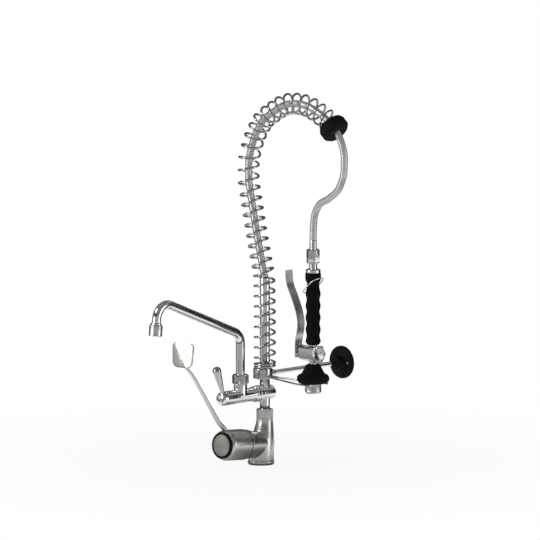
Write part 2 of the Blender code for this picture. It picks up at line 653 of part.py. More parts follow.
def trigger():
    """A bent strip with two ears on the pin. Its outline is offset to both sides of one line."""
    route = [(98.4, 236), (98.0, 259), (99.5, 274), (103.3, 289), (105.2, 304), (104.6, 317),
             (98.5, 338), (86, 365), (73.5, 390), (70, 418)]
    line = through(route, 9)
    sides = []
    for i, here in enumerate(line):
        ahead = (line[min(i + 1, len(line) - 1)] - line[max(i - 1, 0)]).normalized()
        sides.append(Vector((ahead.y, -ahead.x)) * TRIGGER_T / 2)
    outline = [p + s for p, s in zip(line, sides)] + [p - s for p, s in zip(line[::-1], sides[::-1])]
    # drawn in X and Z, so across the direction to the user
    frame = Matrix(((1, 0, 0), (0, 0, -1), (0, 1, 0))).to_4x4()
    frame.translation = v3(0, COLUMN_Y, 0)
    strip = prism("trigger", "brushed", [tuple(p) for p in outline], TRIGGER_WIDTH, frame)
    inner, outer = 7.9, TRIGGER_WIDTH / 2
    for name, side in (("front", -1), ("rear", 1)):
        low, high = sorted((COLUMN_Y + side * inner, COLUMN_Y + side * outer))
        join(strip, box("trigger_ear_" + name, None, (98.2, low, 236), (106, high, 246)))
    cut(strip, rod("trigger_pin_room", None, 1.9, (PIVOT[0], COLUMN_Y - 20, PIVOT[1]), 40, TOWARDS_WALL, 12))
    rod("trigger_pin", "steel", 1.5, (PIVOT[0], COLUMN_Y - 10.9, PIVOT[1]), 21.8, TOWARDS_WALL, 12)


def lock_ring():
    """A long wire link round the grip, hanging from its upper end."""
    high, low, half, wire_r = Vector(RING_HINGE), Vector((122.5, 375)), 18.0, 1.15
    along = (low - high).normalized()
    long = (low - high).length
    corners = [(half, long / 2), (half, long), (-half, long), (-half, 0), (half, 0), (half, long / 2)]
    flat = rounded(corners, (14, 14, 14, 14), 30)
    points = []
    for across, down in flat[:-1]:
        here = high + along * down
        points.append((here.x, COLUMN_Y + across, here.y))
    ring = wire("lock_ring", "chrome", points, wire_r)
    ring.data.splines[0].use_cyclic_u = True
    ring.data.use_fill_caps = False


def bumper_and_nozzle():
    outline = [
        (12.5, 40.4), (15, 38.5), (25.5, 19), (30.5, 18), (34, 14), (34, 6), (31, 1.6), (27, 0),
        (8.2, 0), (8.2, 40.4),
    ]
    turned("bumper", "black_rubber", outline, gun(BUMPER_Z), steps=22)
    outline = [(17.25, 20.7), (17.25, 3), (15.6, 0), (14.2, 0), (14.2, 16), (5, 16), (5, 20.7)]
    turned("spray_nozzle", "brushed", outline, gun(NOZZLE_Z), steps=22)
    face = rod("spray_face", "white_plastic", 13.9, gun(NOZZLE_Z + 2), 4, steps=24)
    for i in range(8):
        a = 2 * pi * (i + 0.3) / 8
        hole = (GUN_X + 8.5 * cos(a), COLUMN_Y + 8.5 * sin(a), NOZZLE_Z)
        cut(face, rod("spray_hole_%d" % i, None, 1.3, hole, 8, steps=8))


for make in (
    mixer_casting, deck_parts, cartridge, mixer_handle, elbow_lever, riser, cross_tap, spout, bracket,
    rosette_parts, hook_fork, balance_spring, spring_cap, spray_hose, hose_end, handgrip, valve, trigger,
    lock_ring, bumper_and_nozzle,
):
    make()
bpy.context.view_layer.update()
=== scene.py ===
"""Looks of the pre rinse faucet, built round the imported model. Lengths are in millimetres unless a
name says otherwise, in the frame of the CAD: -Y the user, +Y the wall, +X the spray gun, Z up."""

from math import acos, ceil, cos, degrees, pi, radians, sin, tan

import bmesh
import bpy
from mathutils import Matrix, Vector


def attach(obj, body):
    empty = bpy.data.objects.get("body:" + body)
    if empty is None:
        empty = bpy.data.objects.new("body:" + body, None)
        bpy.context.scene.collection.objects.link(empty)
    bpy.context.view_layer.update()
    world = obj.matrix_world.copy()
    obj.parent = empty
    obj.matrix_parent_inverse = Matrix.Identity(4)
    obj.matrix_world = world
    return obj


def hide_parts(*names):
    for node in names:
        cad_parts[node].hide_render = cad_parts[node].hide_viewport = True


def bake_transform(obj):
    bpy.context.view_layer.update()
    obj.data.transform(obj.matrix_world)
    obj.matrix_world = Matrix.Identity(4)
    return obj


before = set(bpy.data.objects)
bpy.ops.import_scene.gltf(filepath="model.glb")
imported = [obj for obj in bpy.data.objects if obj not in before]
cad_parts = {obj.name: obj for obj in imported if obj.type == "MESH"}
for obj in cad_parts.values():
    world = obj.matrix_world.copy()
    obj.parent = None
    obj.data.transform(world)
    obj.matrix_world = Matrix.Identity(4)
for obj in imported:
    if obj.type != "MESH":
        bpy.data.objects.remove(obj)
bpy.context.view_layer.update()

MM = 0.001
GAP = 0.3
COLUMN_Y = 11.5
UP, DOWN = (0, 0, 1), (0, 0, -1)
USER, WALL, GUN_SIDE = (0, -1, 0), (0, 1, 0), (1, 0, 0)
SHARP_ANGLE = radians(32)
RISER_R, RISER_BORE = 10.5, 10.8     # the riser pipe, and the holes that it passes through
ROD_Z, ROD_R, ROD_BORE = 190, 5.2, 5.5
ROSETTE_Y = 246.5                    # the wall's face


# ---- node materials ----
class Finish:
    """One node material, with short calls for the nodes that they share."""

    def __init__(self, name, colour, metallic, roughness):
        self.made = bpy.data.materials.new(name + "_finish")
        self.made.use_nodes = True
        self.nodes, self.links = self.made.node_tree.nodes, self.made.node_tree.links
        self.shader = self.nodes["Principled BSDF"]
        self.set("Base Color", (*colour, 1))
        self.set("Metallic", metallic)
        self.set("Roughness", roughness)
        self.place = self.nodes.new("ShaderNodeTexCoord").outputs["Object"]

    def set(self, socket, value):
        self.shader.inputs[socket].default_value = value

    def mapped(self, scale, rotation=(0, 0, 0)):
        mapping = self.nodes.new("ShaderNodeMapping")
        mapping.inputs["Scale"].default_value = scale
        mapping.inputs["Rotation"].default_value = rotation
        self.links.new(self.place, mapping.inputs["Vector"])
        return mapping.outputs["Vector"]

    def noise(self, scale, detail=3.0, stretch=(1, 1, 1), rotation=(0, 0, 0)):
        texture = self.nodes.new("ShaderNodeTexNoise")
        texture.inputs["Scale"].default_value = scale
        texture.inputs["Detail"].default_value = detail
        self.links.new(self.mapped(stretch, rotation), texture.inputs["Vector"])
        return texture.outputs["Fac"]

    def range(self, value, low, high, from_low=0.3, from_high=0.7):
        node = self.nodes.new("ShaderNodeMapRange")
        for socket, number in (("From Min", from_low), ("From Max", from_high), ("To Min", low),
                               ("To Max", high)):
            node.inputs[socket].default_value = number
        self.links.new(value, node.inputs["Value"])
        return node.outputs["Result"]

    def tones(self, value, *stops):
        ramp = self.nodes.new("ShaderNodeValToRGB")
        band = ramp.color_ramp
        band.elements[0].position, band.elements[0].color = stops[0][0], (*stops[0][1], 1)
        band.elements[1].position, band.elements[1].color = stops[-1][0], (*stops[-1][1], 1)
        for position, colour in stops[1:-1]:
            band.elements.new(position).color = (*colour, 1)
        self.links.new(value, ramp.inputs["Fac"])
        return ramp.outputs["Color"]

    def math(self, kind, a, b):
        node = self.nodes.new("ShaderNodeMath")
        node.operation = kind
        for socket, value in zip(node.inputs, (a, b)):
            if isinstance(value, (int, float)):
                socket.default_value = value
            else:
                self.links.new(value, socket)
        return node.outputs[0]

    def feed(self, socket, value):
        self.links.new(value, self.shader.inputs[socket])

    def bump(self, height, strength, distance_mm):
        node = self.nodes.new("ShaderNodeBump")
        node.inputs["Strength"].default_value = strength
        node.inputs["Distance"].default_value = distance_mm * MM
        self.links.new(height, node.inputs["Height"])
        self.feed("Normal", node.outputs["Normal"])


def shade(colour, factor):
    return tuple(min(1.0, c * factor) for c in colour)


def metal(name, colour, rough, spread, cloud=60, grain=None, grain_scale=900, depth=0.02,
          tint=0.06):
    """Metal with cloudy roughness. Where it is brushed, grain is the stretch of its fine lines."""
    f = Finish(name, colour, 1.0, rough)
    wear = f.noise(cloud, 4)
    if grain:
        lines = f.noise(grain_scale, 2, grain)
        wear = f.math("ADD", f.math("MULTIPLY", wear, 0.5), f.math("MULTIPLY", lines, 0.5))
        f.bump(lines, 0.35, depth)
    else:
        f.bump(f.noise(260, 2), 0.05, depth)
    f.feed("Roughness", f.range(wear, rough - spread, rough + spread))
    f.feed("Base Color", f.tones(wear, (0.25, shade(colour, 1 - tint)),
                                 (0.8, shade(colour, 1 + tint))))
    return f.made


def moulded(name, colour, rough, grain_scale, depth, spread=0.08):
    """Plastic or rubber with a moulded grain and faint scuffing."""
    f = Finish(name, colour, 0.0, rough)
    grain, scuff = f.noise(grain_scale, 3), f.noise(45, 5)
    f.bump(grain, 0.5, depth)
    f.feed("Roughness", f.range(scuff, rough - spread, rough + spread))
    f.feed("Base Color", f.tones(scuff, (0.3, shade(colour, 0.8)), (0.75, shade(colour, 1.35))))
    f.set("Specular IOR Level", 0.15 if max(colour) < 0.1 else 0.5)
    return f.made


def hose_finish():
    """A clear skin over a crossed braid, laid out by the hose's own UV: round it, and along it."""
    f = Finish("hose_grey", (0.62, 0.63, 0.63), 0.55, 0.36)
    uv = f.nodes.new("ShaderNodeUVMap")
    uv.uv_map = "route"
    split = f.nodes.new("ShaderNodeSeparateXYZ")
    f.links.new(uv.outputs["UV"], split.inputs["Vector"])
    around, along = split.outputs["X"], split.outputs["Y"]
    strands, turns_round, turns_a_metre = [], 8, 150
    for way in (1, -1):
        turn = f.math("ADD", f.math("MULTIPLY", around, turns_round * way),
                      f.math("MULTIPLY", along, turns_a_metre))
        strands.append(f.math("SINE", f.math("MULTIPLY", turn, 2 * pi), 0))
    braid = f.math("MULTIPLY", strands[0], strands[1])
    dark, pale = (0.52, 0.525, 0.525), (0.66, 0.665, 0.665)
    f.feed("Base Color", f.tones(f.range(braid, 0, 1, -1, 1), (0.2, dark), (0.8, pale)))
    f.bump(braid, 0.10, 0.10)
    f.feed("Roughness", f.range(f.noise(70, 3), 0.30, 0.42))
    f.set("Coat Weight", 0.3)
    f.set("Coat Roughness", 0.2)
    return f.made


FINISHES = {
    "chrome": metal("chrome", (0.86, 0.87, 0.88), 0.07, 0.03, depth=0.01, tint=0.02),
    # a darker copy of chrome, as painted shade on the spring coil, the tap lever and the fork wires
    "shaded_chrome": metal("shaded_chrome", (0.50, 0.50, 0.51), 0.09, 0.03, depth=0.01, tint=0.02),
    "cast_chrome": metal("cast_chrome", (0.70, 0.71, 0.71), 0.22, 0.07, 300, depth=0.05, tint=0.10),
    "satin": metal("satin", (0.64, 0.65, 0.60), 0.30, 0.06, 40, (1, 0.06, 1), 1500, 0.02, 0.05),
    "brushed": metal("brushed", (0.70, 0.70, 0.70), 0.24, 0.07, 60, (0.05, 1, 1), 1300, 0.03, 0.08),
    "steel": metal("steel", (0.62, 0.63, 0.64), 0.28, 0.08, 80, (1, 1, 0.1), 1200, 0.02),
    "brass": metal("brass", (0.74, 0.58, 0.30), 0.30, 0.08, 70, (1, 1, 0.2), 800, 0.03),
    "black_rubber": moulded("black_rubber", (0.0035, 0.0035, 0.0038), 0.82, 1400, 0.05),
    "black_plastic": moulded("black_plastic", (0.0035, 0.0035, 0.004), 0.66, 1700, 0.03),
    "grey_plastic": moulded("grey_plastic", (0.27, 0.285, 0.24), 0.42, 1500, 0.02),
    "white_plastic": moulded("white_plastic", (0.72, 0.72, 0.70), 0.45, 1200, 0.02, 0.05),
    "hose_grey": hose_finish(),
}


# ---- pieces ----
def piece(obj, slot, body, *nodes, finish=None):
    """Gives the object its finish, its body and the CAD nodes it stands for. With body None it is
    left for a blend."""
    obj.data.materials.clear()
    obj.data.materials.append(FINISHES[finish or slot])
    if body:
        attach(obj, body)
    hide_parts(*nodes)
    return obj


def object_of(name, mesh):
    mesh.shade_smooth()
    mesh.set_sharp_from_angle(angle=SHARP_ANGLE)
    obj = bpy.data.objects.new(name, mesh)
    bpy.context.scene.collection.objects.link(obj)
    return obj


def skin(name, rings, loop=False):
    """A closed surface through rings of points, with flat ends unless the rings form a loop."""
    work = bmesh.new()
    rows = [[work.verts.new(Vector(p) * MM) for p in ring] for ring in rings]
    for a, b in list(zip(rows, rows[1:])) + ([(rows[-1], rows[0])] if loop else []):
        for i in range(len(a)):
            j = (i + 1) % len(a)
            work.faces.new((a[i], a[j], b[j], b[i]))
    if not loop:
        work.faces.new(rows[0][::-1])
        work.faces.new(rows[-1])
    bmesh.ops.recalc_face_normals(work, faces=work.faces)
    mesh = bpy.data.meshes.new(name)
    work.to_mesh(mesh)
    work.free()
    return object_of(name, mesh)


def filleted(line):
    """The points of an outline, where a third number rounds that corner."""
    points = []
    for i, entry in enumerate(line):
        corner = Vector(entry[:2])
        if len(entry) == 2:
            points.append(corner)
            continue
        into = (Vector(line[i - 1][:2]) - corner).normalized()
        out = (Vector(line[(i + 1) % len(line)][:2]) - corner).normalized()
        half = acos(max(-1.0, min(1.0, into.dot(out)))) / 2
        centre = corner + (into + out).normalized() * (entry[2] / sin(half))
        reach, turn = entry[2] / tan(half), pi - 2 * half
        start, end = corner + into * reach - centre, corner + out * reach - centre
        count = max(2, ceil(degrees(turn) / 14))
        for k in range(count + 1):
            a = turn * k / count
            points.append(centre + (start * sin(turn - a) + end * sin(a)) / sin(turn))
    return points


def turn_to(direction):
    return Vector(UP).rotation_difference(Vector(direction).normalized()).to_matrix()


def lathe(name, line, at=(0, 0, 0), direction=UP, steps=96, shape=None):
    """Turns (radius, height) points about an axis. shape(angle, radius, height) is a radius."""
    points = filleted(line)
    loop = points[0].x > 0 and points[-1].x > 0
    spin, at = turn_to(direction), Vector(at)
    rings = []
    for p in points:
        ring = []
        for i in range(steps):
            a = 2 * pi * i / steps
            r = max(shape(a, p.x, p.y) if shape else p.x, 0.02)
            ring.append(at + spin @ Vector((r * cos(a), r * sin(a), p.y)))
        rings.append(ring)
    return skin(name, rings, loop)


def polygon(sides, corner):
    """A shape that cuts a turned bar to flats, with this radius at the corners."""
    flat = corner * cos(pi / sides)

    def limit(a, r, height):
        return min(r, flat / cos((a + pi / sides) % (2 * pi / sides) - pi / sides))

    return limit


def hexagon(name, corner, bore, height, at, direction=UP, sides=6, chamfer=1.6):
    """A nut whose corners are turned down at both ends."""
    top = corner - chamfer
    line = [(bore, 0), (top, 0)]
    for k in range(1, 7):
        line.append((top + chamfer * k / 6, chamfer * 0.6 * k / 6))
    line += [(r, height - h) for r, h in line[:0:-1]]
    line.append((bore, height))
    return lathe(name, line, at, direction, 96, polygon(sides, corner))


def flow(points):
    """A frame carried along a line without twist: (point, tangent, normal, side) at each point."""
    points = [Vector(p) for p in points]
    normal, out = None, []
    for i, here in enumerate(points):
        ahead = (points[min(i + 1, len(points) - 1)] - points[max(i - 1, 0)]).normalized()
        if normal is None:
            normal = ahead.orthogonal().normalized()
        normal = (normal - ahead * normal.dot(ahead)).normalized()
        out.append((here, ahead, normal, ahead.cross(normal)))
    return out


def tube(name, points, radius, sides=20):
    """A round bar along a line. The radius may be one number or one for each point."""
    rings = []
    for i, (here, _, normal, side) in enumerate(flow(points)):
        r = radius[i] if isinstance(radius, list) else radius
        angles = [2 * pi * k / sides for k in range(sides)]
        rings.append([here + (normal * cos(a) + side * sin(a)) * r for a in angles])
    return skin(name, rings)


def wrap(obj, points, sides):
    """Gives a tube its UV: once round, and metres along."""
    route = [Vector(p) for p in points]
    lengths = [0.0]
    for a, b in zip(route, route[1:]):
        lengths.append(lengths[-1] + (b - a).length * MM)
    layer = obj.data.uv_layers.new(name="route")
    for face in obj.data.polygons:
        numbers = [obj.data.loops[k].vertex_index for k in face.loop_indices]
        closing = {sides - 1, 0} <= {v % sides for v in numbers}
        for k, v in zip(face.loop_indices, numbers):
            around = v % sides
            if closing and around == 0:
                around = sides
            layer.data[k].uv = (around / sides, lengths[v // sides])


def through(route, spacing):
    """Evenly spaced points on a smooth curve (Catmull-Rom) through a route."""
    knots = [Vector(p) for p in route]
    knots = [2 * knots[0] - knots[1], *knots, 2 * knots[-1] - knots[-2]]
    dense = [knots[1]]
    for a, b, c, d in zip(knots, knots[1:], knots[2:], knots[3:]):
        for i in range(1, 13):
            t = i / 12
            dense.append(0.5 * (2 * b + (c - a) * t + (2 * a - 5 * b + 4 * c - d) * t**2
                                + (3 * b - a - 3 * c + d) * t**3))
    length = sum((q - p).length for p, q in zip(dense, dense[1:]))
    count = ceil(length / spacing)
    points, walked, step = [dense[0]], 0.0, length / count
    for p, q in zip(dense, dense[1:]):
        long = (q - p).length
        while walked + long >= step * len(points) and len(points) < count:
            points.append(p.lerp(q, (step * len(points) - walked) / long))
        walked += long
    return points + [dense[-1]]


def ridged(count, depth, past_radius, between=None, base=None):
    """A shape with ridges past a radius, between two heights if given, on a base shape if any."""

    def limit(a, r, h):
        reach = base(a, r, h) if base else r
        if r > past_radius and (between is None or between[0] < h < between[1]):
            return reach - depth * (1 + cos(count * a)) / 2
        return reach

    return limit


def applied(obj):
    """The object with its modifiers worked into its mesh."""
    bpy.context.view_layer.update()
    mesh = bpy.data.meshes.new_from_object(obj.evaluated_get(bpy.context.evaluated_depsgraph_get()))
    name = obj.name
    bpy.data.objects.remove(obj, do_unlink=True)
    return object_of(name, mesh)


def carved(obj, add=(), cut=()):
    """Joins and cuts with other objects, which are used up."""
    for others, operation in ((add, "UNION"), (cut, "DIFFERENCE")):
        for other in others:
            boolean = obj.modifiers.new(operation, "BOOLEAN")
            boolean.operation, boolean.object = operation, other
    obj = applied(obj)
    for other in (*add, *cut):
        bpy.data.objects.remove(other, do_unlink=True)
    return obj


def melted(obj, others, voxel, rounds):
    """One cast skin over several shapes, with the inner corners filled like a casting's."""
    bpy.ops.object.select_all(action="DESELECT")
    for o in (obj, *others):
        o.select_set(True)
    bpy.context.view_layer.objects.active = obj
    bpy.ops.object.join()
    remesh = obj.modifiers.new("cast", "REMESH")
    remesh.mode, remesh.voxel_size = "VOXEL", voxel * MM
    soften = obj.modifiers.new("soften", "SMOOTH")
    soften.factor, soften.iterations = 0.5, rounds
    return applied(obj)


def bar(name, radius, at, length, direction=UP, steps=48, edge=0.0):
    """A plain round bar, for cutting and joining."""
    line = [(0, 0), (radius, 0), (radius, length), (0, length)]
    if edge:
        line = [(0, 0), (radius, 0, edge), (radius, length, edge), (0, length)]
    return lathe(name, line, at, direction, steps)


def block(name, low, high):
    corners = [(low[0], low[1]), (high[0], low[1]), (high[0], high[1]), (low[0], high[1])]
    return skin(name, [[(x, y, z) for x, y in corners] for z in (low[2], high[2])])


def extruded(name, outline, matrix, length, edge=0.6):
    """A rounded outline drawn in its matrix's XY plane, with chamfered ends along its Z."""
    flat = filleted(outline)
    middle = sum(flat, Vector((0, 0))) / len(flat)
    rings = []
    for height, inset in ((-length / 2, edge), (edge - length / 2, 0), (length / 2 - edge, 0),
                          (length / 2, edge)):
        ring = []
        for p in flat:
            out = p - middle
            p = p - out.normalized() * inset
            ring.append(matrix @ Vector((p.x, p.y, height)))
        rings.append(ring)
    return skin(name, rings)


# ---- hose and spring ----
SPRING_ROUTE = [
    (0, 205.8), (0, 260), (0, 330), (-1.8, 396), (-6.4, 416.5), (-16.9, 459), (-26.9, 501),
    (-36.5, 545), (-46.2, 592), (-46.9, 617), (-45.6, 642), (-36.5, 673), (-26.3, 696),
    (-16.9, 711), (-4.4, 728.5), (12.9, 741), (29.8, 751.5), (51.7, 764), (72.4, 771),
    (95.5, 773), (118.6, 772), (139.3, 767), (158.9, 759), (179.5, 749), (198.0, 736.0),
]
HOSE_START = 394.3
HOSE_ROUTE = [(0, HOSE_START)] + SPRING_ROUTE[4:] + [
    (211, 724), (221, 709), (228, 693), (232, 676), (232, 669), (230.6, 639), (224, 619.5),
    (211, 599), (185, 580), (161.5, 567.5), (146.6, 545), (142, 517), (141, 489.4),
]
HOSE_R, HOSE_SIDES = 7.5, 40
HOSE_SPLIT_X = 203.0           # inside the spring's end cap, where the two lengths of hose meet
SPRING_R, WIRE_R, SPRING_PHASE = 21.0, 2.4, 0.653
CLOSED_TURNS, CLOSED_PITCH = 1.5, 5.2
SPRING_PITCH, OPEN_PITCH, ARCH_PITCH = 21.85, 25.5, 22.6
OPEN_FROM, OPEN_TO = 375.0, 477.0   # the widest coils, below the arch, by length along the route


def hose():
    """Two lengths that meet in the end cap; the free one is left on no body."""
    line = through(HOSE_ROUTE, 4)
    split = next(i for i, p in enumerate(line) if p.x > HOSE_SPLIT_X)
    for name, part in (("hose_in_spring", line[: split + 1]), ("hose_free", line[split:])):
        points = [(p.x, COLUMN_Y, p.y) for p in part]
        made = tube(name, points, HOSE_R, HOSE_SIDES)
        wrap(made, points, HOSE_SIDES)
        free = name == "hose_free"
        piece(made, "hose_grey", None if free else "root", "spray_hose")
        if free:
            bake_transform(made)


def spring():
    """Coils wound on the route, with a closed end where they stand on the clamp."""
    line = through(SPRING_ROUTE, 1.0)
    per_turn, fade = 45, 0.3         # points in a turn, and the part of one where coils open out
    points, turn, walked = [], 0.0, 0.0
    while walked < len(line) - 2:
        i = int(walked)
        here = line[i].lerp(line[i + 1], walked - i)
        ahead = (line[min(i + 2, len(line) - 1)] - line[max(i - 1, 0)]).normalized()
        tangent, normal = Vector((ahead.x, 0, ahead.y)), Vector((ahead.y, 0, -ahead.x))
        a = 2 * pi * (turn + SPRING_PHASE)
        offset = (normal * cos(a) + tangent.cross(normal) * sin(a)) * SPRING_R
        points.append(Vector((here.x, COLUMN_Y, here.y)) + offset)
        turn += 1 / per_turn
        pitch = SPRING_PITCH if walked < OPEN_FROM else ARCH_PITCH
        if OPEN_FROM <= walked < OPEN_TO:
            pitch = OPEN_PITCH
        opened = max(0.0, min(1.0, (turn - CLOSED_TURNS + fade / 2) / fade))
        walked += (CLOSED_PITCH + opened * (pitch - CLOSED_PITCH)) / per_turn
    coil = tube("spring_coil", points, WIRE_R, 14)
    # the coil takes the darker copy of chrome, as painted shade
    piece(coil, "chrome", "root", "balance_spring", finish="shaded_chrome")


def end_cap():
    line = [
        (9.6, 27), (24.8, 27, 1.6), (30.5, 20.5, 2.4), (30.5, 6, 3.0), (27, 0, 1.2), (24.2, 0),
        (24.2, 15), (9.6, 15),
    ]
    made = lathe("end_cap_moulding", line, (191.8, COLUMN_Y, 740.4), (0.77, 0, -0.638))
    piece(made, "black_plastic", "root", "spring_cap")


# ---- mixer ----
BRANCH_TILT = radians(4.2)
BRANCH = (0, -cos(BRANCH_TILT), sin(BRANCH_TILT))
BRANCH_Z = 42.3                      # where the branch's axis crosses the column's
SEAM, HANDLE_FACE = 68.0, 126.6      # along the branch
SEAM_GAP = 1.2


def branch(t):
    return (0, COLUMN_Y - t * cos(BRANCH_TILT), BRANCH_Z + t * sin(BRANCH_TILT))


def mixer_body():
    """One casting: an upright that narrows and leans back to the column, and a branch."""
    # height, radius, and the circle's middle along Y
    stack = [
        (-6, 27.0, 0), (8, 27.0, 0), (20, 27.0, 0.6), (32, 26.6, 1.5), (44, 25.6, 3.1),
        (56, 24.0, 5.0), (70, 21.0, 8.2), (84, 18.4, 10.6), (90, 17.6, 11.2), (104, 17.5, COLUMN_Y),
    ]
    angles = [2 * pi * i / 72 for i in range(72)]
    upright = skin("mixer_casting", [[(r * cos(a), y + r * sin(a), z) for a in angles]
                                     for z, r, y in stack])
    line = [
        (0, -12), (20, -10), (23, 0), (25.5, 25), (28, 45), (31, 57), (31.6, 64), (31.8, 80),
        (0, 80),
    ]
    made = melted(upright, [lathe("branch_part", line, branch(0), BRANCH)], 1.1, 26)
    seam = block("seam_cut", (-60, -60, 0), (60, 60, 100))
    seam_at = Vector(branch(SEAM - SEAM_GAP)) * MM
    seam.matrix_world = Matrix.Translation(seam_at) @ turn_to(BRANCH).to_4x4()
    made = carved(made, cut=[
        seam,
        block("foot_cut", (-60, -60, -40), (60, 60, 8)),
        block("top_cut", (-60, -10, 96.7), (60, 60, 140)),
        bar("cartridge_cut", 17.8, branch(40), 40, BRANCH),
        bar("shank_cut", 16.8, (0, 0, 0), 22),
        bar("riser_cut", RISER_BORE, (0, COLUMN_Y, 81), 30),
    ])
    piece(made, "satin", "root", "mixer_body")


def deck_fixing():
    line = [(17.2, 0), (28, 0, 0.8), (28, 5.7, 1.6), (26.9, 5.7), (17.2, 5.7)]
    piece(lathe("foot_ring", line, (0, 0, 2)), "chrome", "root", "base_ring")
    line = [(17.2, 0), (26.8, 0, 0.5), (26.8, 1.7, 0.5), (17.2, 1.7)]
    piece(lathe("deck_seal", line), "black_rubber", "root", "deck_gasket")
    line, pitch, threads = [(14.2, 0), (15.2, 0)], 1.6, 36
    for k in range(threads):
        line += [(16.4, 1.4 + k * pitch), (15.5, 1.4 + (k + 0.5) * pitch)]
    line += [(16.5, 62), (16.5, 83.7), (14.2, 83.7)]
    piece(lathe("threaded_shank", line, (0, 0, -62)), "brass", "root", "mounting_shank")
    line = [(16.8, 0), (26, 0, 0.8), (26, 3, 0.8), (16.8, 3)]
    piece(lathe("under_washer", line, (0, 0, -43)), "steel", "root", "clamp_washer")
    nut = hexagon("under_nut", 23, 16.8, 10.7, (0, 0, -54), chamfer=1.2)
    piece(nut, "brass", "root", "clamp_nut")
    for name, x in (("hot", -7.2), ("cold", 7.2)):
        thread = [(6 - 0.5 * (k % 2), 3 + 0.8 * k) for k in range(14)]
        line = [(4, 0), (6, 0, 0.5), *thread, (6, 15), (6, 101.7), (4, 101.7)]
        tail = lathe(name + "_tail", line, (x, 0, -80), steps=64)
        piece(tail, "brass", "root", name + "_inlet_tail")


def mixer_handle():
    long, face = HANDLE_FACE - SEAM, branch(HANDLE_FACE + GAP)
    line = [
        (28.8, long, 0.6), (31.1, long - 2.6, 3), (32.5, long - 7.4, 4), (32.5, 2.0, 0.8),
        (31.0, 0.4, 0.3), (26, 0.4), (26, long - 10), (4, long - 10), (4, long),
    ]
    piece(lathe("handle_shell", line, branch(SEAM), BRANCH, 128), "satin", "handle", "mixer_handle")
    line = [(23.3, 0), (28.2, 0, 0.4), (28.2, 5, 1.2), (23.3, 5, 0.4)]
    piece(lathe("button_ring", line, face, BRANCH, 128), "black_plastic", "handle", "handle_ring")
    line = [
        (0, 5.6), (12, 5.55), (19.4, 5.3, 3), (19.9, 4.4, 0.2), (20.7, 4.4, 0.2), (21.2, 5.5, 0.4),
        (22.9, 5, 0.6), (22.9, 0), (0, 0),
    ]
    piece(lathe("index_button", line, face, BRANCH, 128), "grey_plastic", "handle", "handle_button")


PADDLE_MIDDLE = (-238.5, 255.7)   # Y and Z
PADDLE_HALF = (27.0, 26.7)


def paddle():
    """An upright spoon of a plate, with a slanted crease."""
    width, height = PADDLE_HALF
    outline = filleted([(width, -height, 14), (width, height, 10), (-width, height, 10),
                        (-width, -height, 14)])
    rings = []
    # half the thickness at each share of the outline's size, so that the rim is thin
    thick = ((0.02, 1.7), (0.3, 1.7), (0.6, 1.6), (0.85, 1.3), (0.96, 0.9), (0.985, 0.7))
    for scale, offset in (*thick, (1, 0), *((scale, -offset) for scale, offset in thick[::-1])):
        ring = []
        for p in outline:
            x, z = p.x * scale, p.y * scale
            past = x + 0.55 * z + 4          # how far past the slanted crease
            dish = 0.6 * (z / height) ** 2
            fold = 0.26 * (past * past + 30) ** 0.5 * 0.5 + 0.13 * past
            ring.append((x, PADDLE_MIDDLE[0] - 1.2 + offset - dish + fold, PADDLE_MIDDLE[1] + z))
        rings.append(ring)
    return skin("paddle_part", rings)


def elbow_lever():
    route = [
        (0, -106.2, 80.4), (0, -115.2, 90), (0, -124, 97), (0, -140, 117), (0, -162, 147.5),
        (0, -184, 178), (0, -206, 208), (0, -221, 223), (0, -232, 233.5), (0, -238, 246),
    ]
    line = through(route, 4)
    count = len(line) - 1
    radii = [5.2 - 2.0 * min(1.0, i / count * 1.15) for i in range(count + 1)]
    made = melted(tube("lever_and_paddle", line, radii, 32), [paddle()], 0.75, 8)
    piece(made, "satin", "handle", "elbow_lever")


# ---- riser and cross tap ----
TAP_Z = 150.3
SPOUT_Y = -62.2
SPOUT_NUT_Z = 176.9


def riser():
    nut = hexagon("riser_gland", 18.25, RISER_BORE, 19, (0, COLUMN_Y, 97), chamfer=1.5)
    piece(nut, "satin", "root", "riser_nut")
    for name, node, low, high in (("riser_below", "lower_riser", 82, 142),
                                  ("riser_above", "upper_riser", 158, 394)):
        line = [(8.3, 0), (RISER_R, 0, 0.5), (RISER_R, high - low, 0.8), (8.3, high - low)]
        piece(lathe(name, line, (0, COLUMN_Y, low)), "chrome", "root", node)


